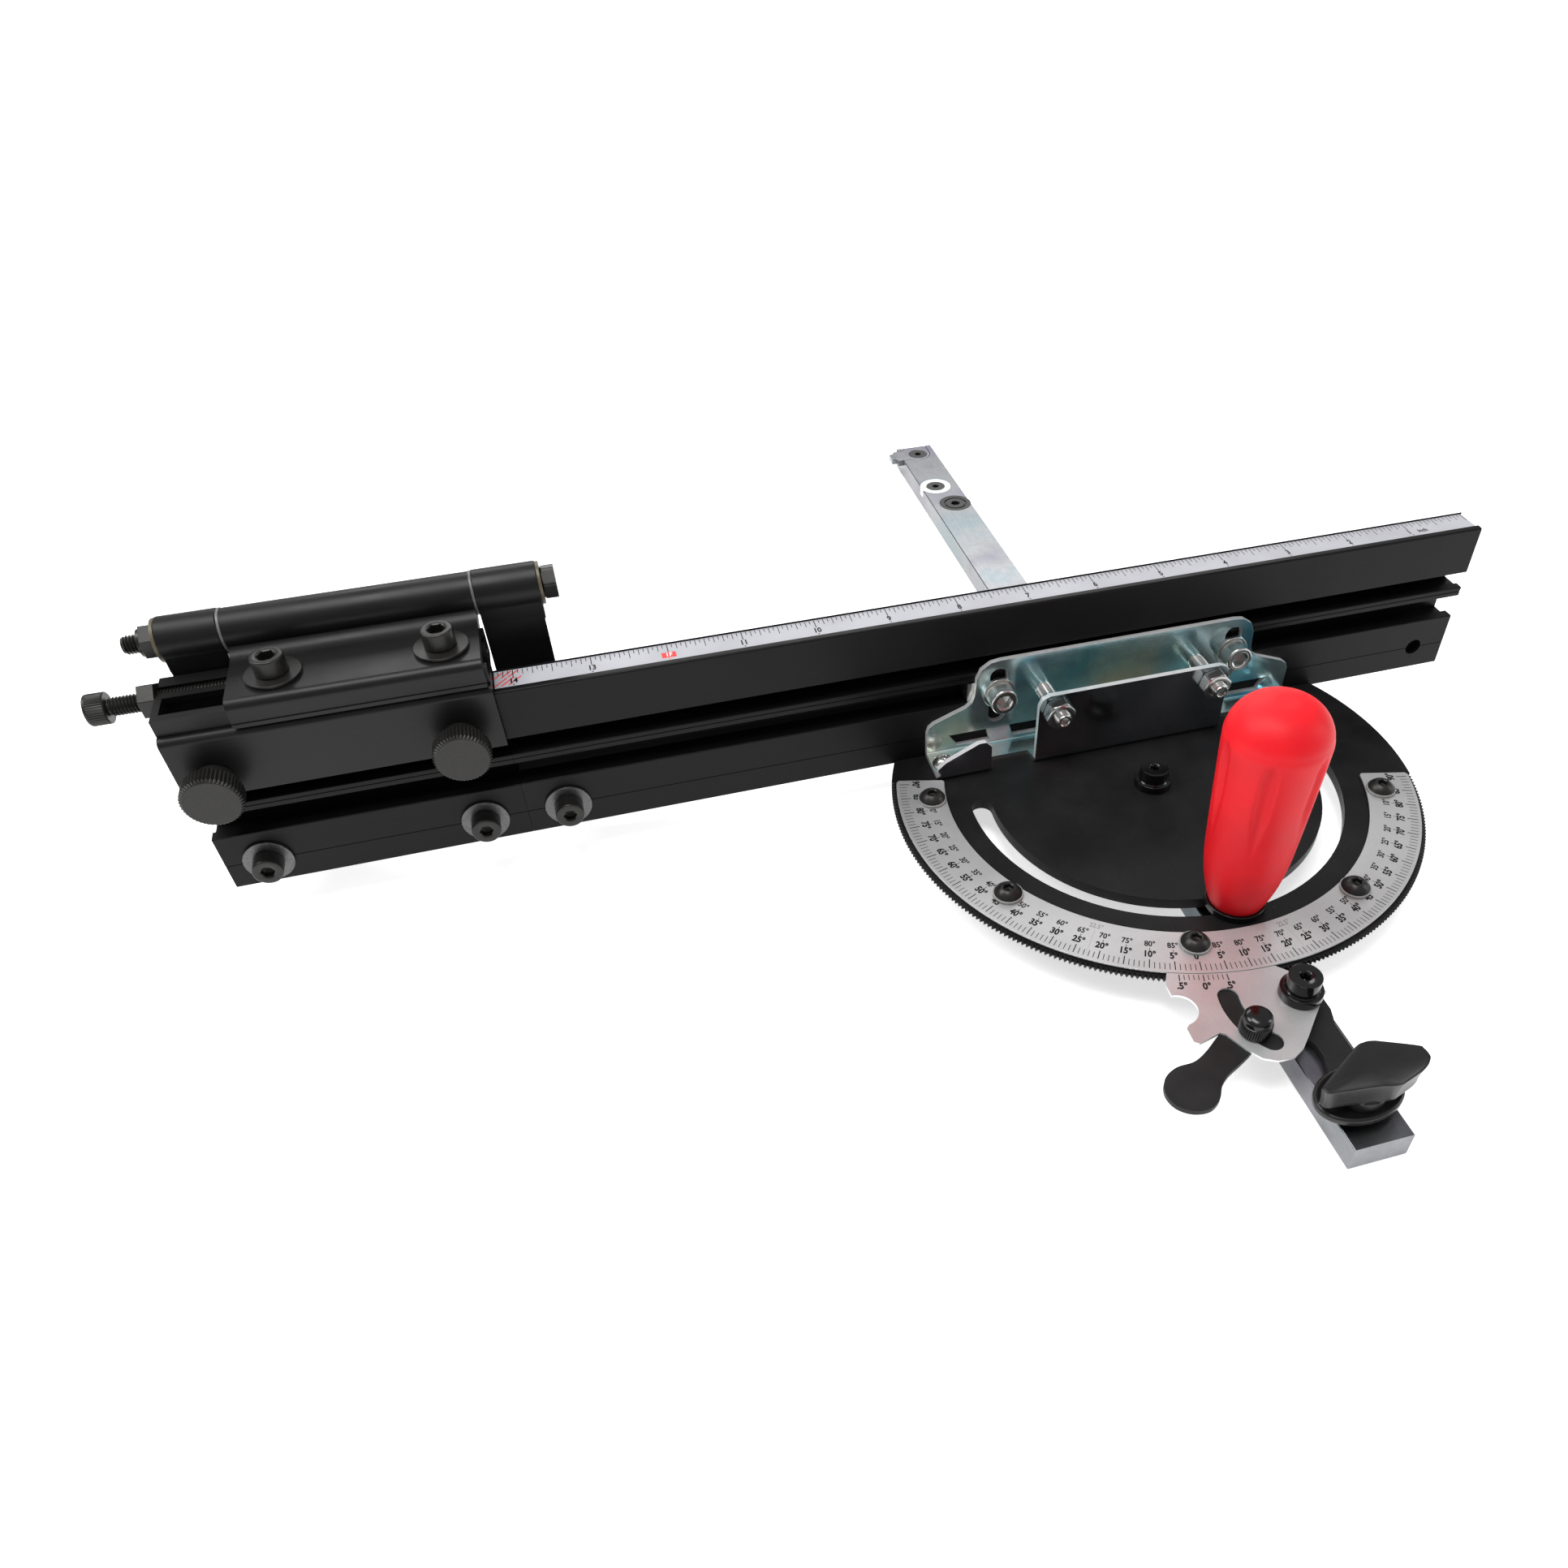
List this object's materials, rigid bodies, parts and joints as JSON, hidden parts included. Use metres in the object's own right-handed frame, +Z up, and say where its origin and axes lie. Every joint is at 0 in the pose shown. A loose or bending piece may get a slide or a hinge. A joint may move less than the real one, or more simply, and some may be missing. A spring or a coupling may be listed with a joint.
{
  "type": "miter gauge",
  "caption": "Miter gauge: slot bar, toothed protractor head with degree scale and vernier, red clamp handle, extruded fence with rule, sliding extension and flip stop with micro-adjust",
  "frame": {"origin": "the head's pivot axis at the table surface, which is the top face of the slot bar", "axes": "+X along the fence towards its free end, +Y the way the bar is pushed, away from the user, +Z up"},
  "size_m": [0.4831, 0.46, 0.0988],
  "materials": {
    "zinc_plate": "bright zinc plate, faint blue cast",
    "black_oxide_steel": "black oxide, satin",
    "dark_steel": "dark oiled steel",
    "black_powder_coat": "fine black powder coat",
    "black_anodised": "black anodised, satin",
    "satin_scale": "satin grey with engraved marks",
    "white_nylon": "white nylon",
    "tape_white": "printed rule tape",
    "red_plastic": "soft red plastic",
    "black_plastic": "moulded black plastic"
  },
  "bodies": {
    "slot_bar": {"miter_bar": "zinc_plate", "bar_guide_plate": "zinc_plate", "guide_plate_screw": "black_oxide_steel", "expansion_washer": "white_nylon", "expansion_screw": "black_oxide_steel", "expansion_disc": "black_oxide_steel", "pivot_boss": "black_oxide_steel", "index_base": "black_powder_coat", "vernier_plate": "satin_scale", "vernier_boss": "black_oxide_steel", "clamp_stud": "dark_steel", "wing_knob_stud": "dark_steel"},
    "protractor_head": {"protractor_plate": "black_powder_coat", "degree_scale": "satin_scale", "scale_screws": "black_oxide_steel", "scale_washers": "white_nylon", "fence_bracket": "zinc_plate", "bracket_screws": "zinc_plate", "fence_screws": "zinc_plate", "fence_screw_washers": "zinc_plate", "fence_slot_nuts": "zinc_plate", "tilt_set_screws": "zinc_plate", "tilt_lock_nuts": "zinc_plate"},
    "fence": {"main_fence": "black_anodised", "fence_tape": "tape_white", "fence_lock_screw": "black_oxide_steel", "fence_lock_washer": "dark_steel"},
    "fence_extension": {"extension_fence": "black_anodised", "extension_rail": "dark_steel", "extension_screws": "black_oxide_steel", "extension_washers": "dark_steel"},
    "stop_slider": {"stop_base": "black_anodised", "micro_adjust_nut": "black_oxide_steel"},
    "stop_knob_left": {"stop_knob_left": "black_oxide_steel"},
    "stop_knob_right": {"stop_knob_right": "black_oxide_steel"},
    "stop_carriage": {"stop_carrier": "black_anodised", "carrier_screws": "black_oxide_steel", "carrier_washers": "black_oxide_steel", "carrier_slot_nuts": "dark_steel", "hinge_bolt": "black_oxide_steel", "hinge_nut": "dark_steel", "hinge_spacers": "white_nylon", "hinge_end_washers": "zinc_plate"},
    "micro_adjuster": {"micro_adjust_screw": "black_oxide_steel"},
    "flip_arm_left": {"flip_arm_left": "black_anodised"},
    "flip_arm_right": {"flip_arm_right": "black_anodised"},
    "handle": {"handle_grip": "red_plastic", "handle_collar": "black_oxide_steel"},
    "wing_knob": {"wing_knob": "black_plastic"},
    "index_lever": {"index_lever": "black_powder_coat"},
    "lever_lock": {"lever_lock_screw": "black_oxide_steel"}
  },
  "joints": [
    {"name": "head_turn", "type": "hinge", "parent": "slot_bar", "child": "protractor_head", "pos_m": [0, 0, 0], "axis": [0, 0, 1], "range_deg": [-80, 80]},
    {"name": "handle_turn", "type": "hinge", "parent": "slot_bar", "child": "handle", "pos_m": [0, -0.0638, 0], "axis": [0, 0, 1], "range_deg": [-180, 180]},
    {"name": "wing_knob_turn", "type": "hinge", "parent": "slot_bar", "child": "wing_knob", "pos_m": [-0.001, -0.142, 0.006], "axis": [0, 0, 1], "range_deg": [-180, 180]},
    {"name": "index_lever_swing", "type": "hinge", "parent": "slot_bar", "child": "index_lever", "pos_m": [0, -0.106, 0], "axis": [0, 0, 1], "range_deg": [-3, 4]},
    {"name": "lever_lock_turn", "type": "hinge", "parent": "index_lever", "child": "lever_lock", "pos_m": [-0.02001, -0.11491, 0], "axis": [0, 0, 1], "range_deg": [-180, 180]},
    {"name": "fence_slide", "type": "slide", "parent": "protractor_head", "child": "fence", "axis": [1, 0, 0], "range_m": [-0.06, 0.06]},
    {"name": "extension_slide", "type": "slide", "parent": "fence", "child": "fence_extension", "axis": [-1, 0, 0], "range_m": [0, 0.12]},
    {"name": "stop_slide", "type": "slide", "parent": "fence_extension", "child": "stop_slider", "axis": [1, 0, 0], "range_m": [0, 0.3]},
    {"name": "stop_knob_left_turn", "type": "hinge", "parent": "stop_slider", "child": "stop_knob_left", "pos_m": [-0.3075, 0.03725, 0.0512], "axis": [0, -1, 0], "range_deg": [-180, 180]},
    {"name": "stop_knob_right_turn", "type": "hinge", "parent": "stop_slider", "child": "stop_knob_right", "pos_m": [-0.2326, 0.03725, 0.0512], "axis": [0, -1, 0], "range_deg": [-180, 180]},
    {"name": "carriage_slide", "type": "slide", "parent": "stop_slider", "child": "stop_carriage", "axis": [1, 0, 0], "range_m": [-0.015, 0.006]},
    {"name": "micro_adjuster_turn", "type": "hinge", "parent": "stop_carriage", "child": "micro_adjuster", "pos_m": [-0.3333, 0.05735, 0.07025], "axis": [-1, 0, 0], "range_deg": [-5400, 2160]},
    {"name": "left_arm_flip", "type": "hinge", "parent": "stop_carriage", "child": "flip_arm_left", "pos_m": [-0.306, 0.072, 0.0821], "axis": [1, 0, 0], "range_deg": [0, 120]},
    {"name": "right_arm_flip", "type": "hinge", "parent": "stop_carriage", "child": "flip_arm_right", "pos_m": [-0.209, 0.072, 0.0821], "axis": [1, 0, 0], "range_deg": [0, 120]}
  ],
  "couplings": [
    {"joint": "micro_adjuster_turn", "follows": "carriage_slide", "rad_per_m": 6283.2}
  ]
}
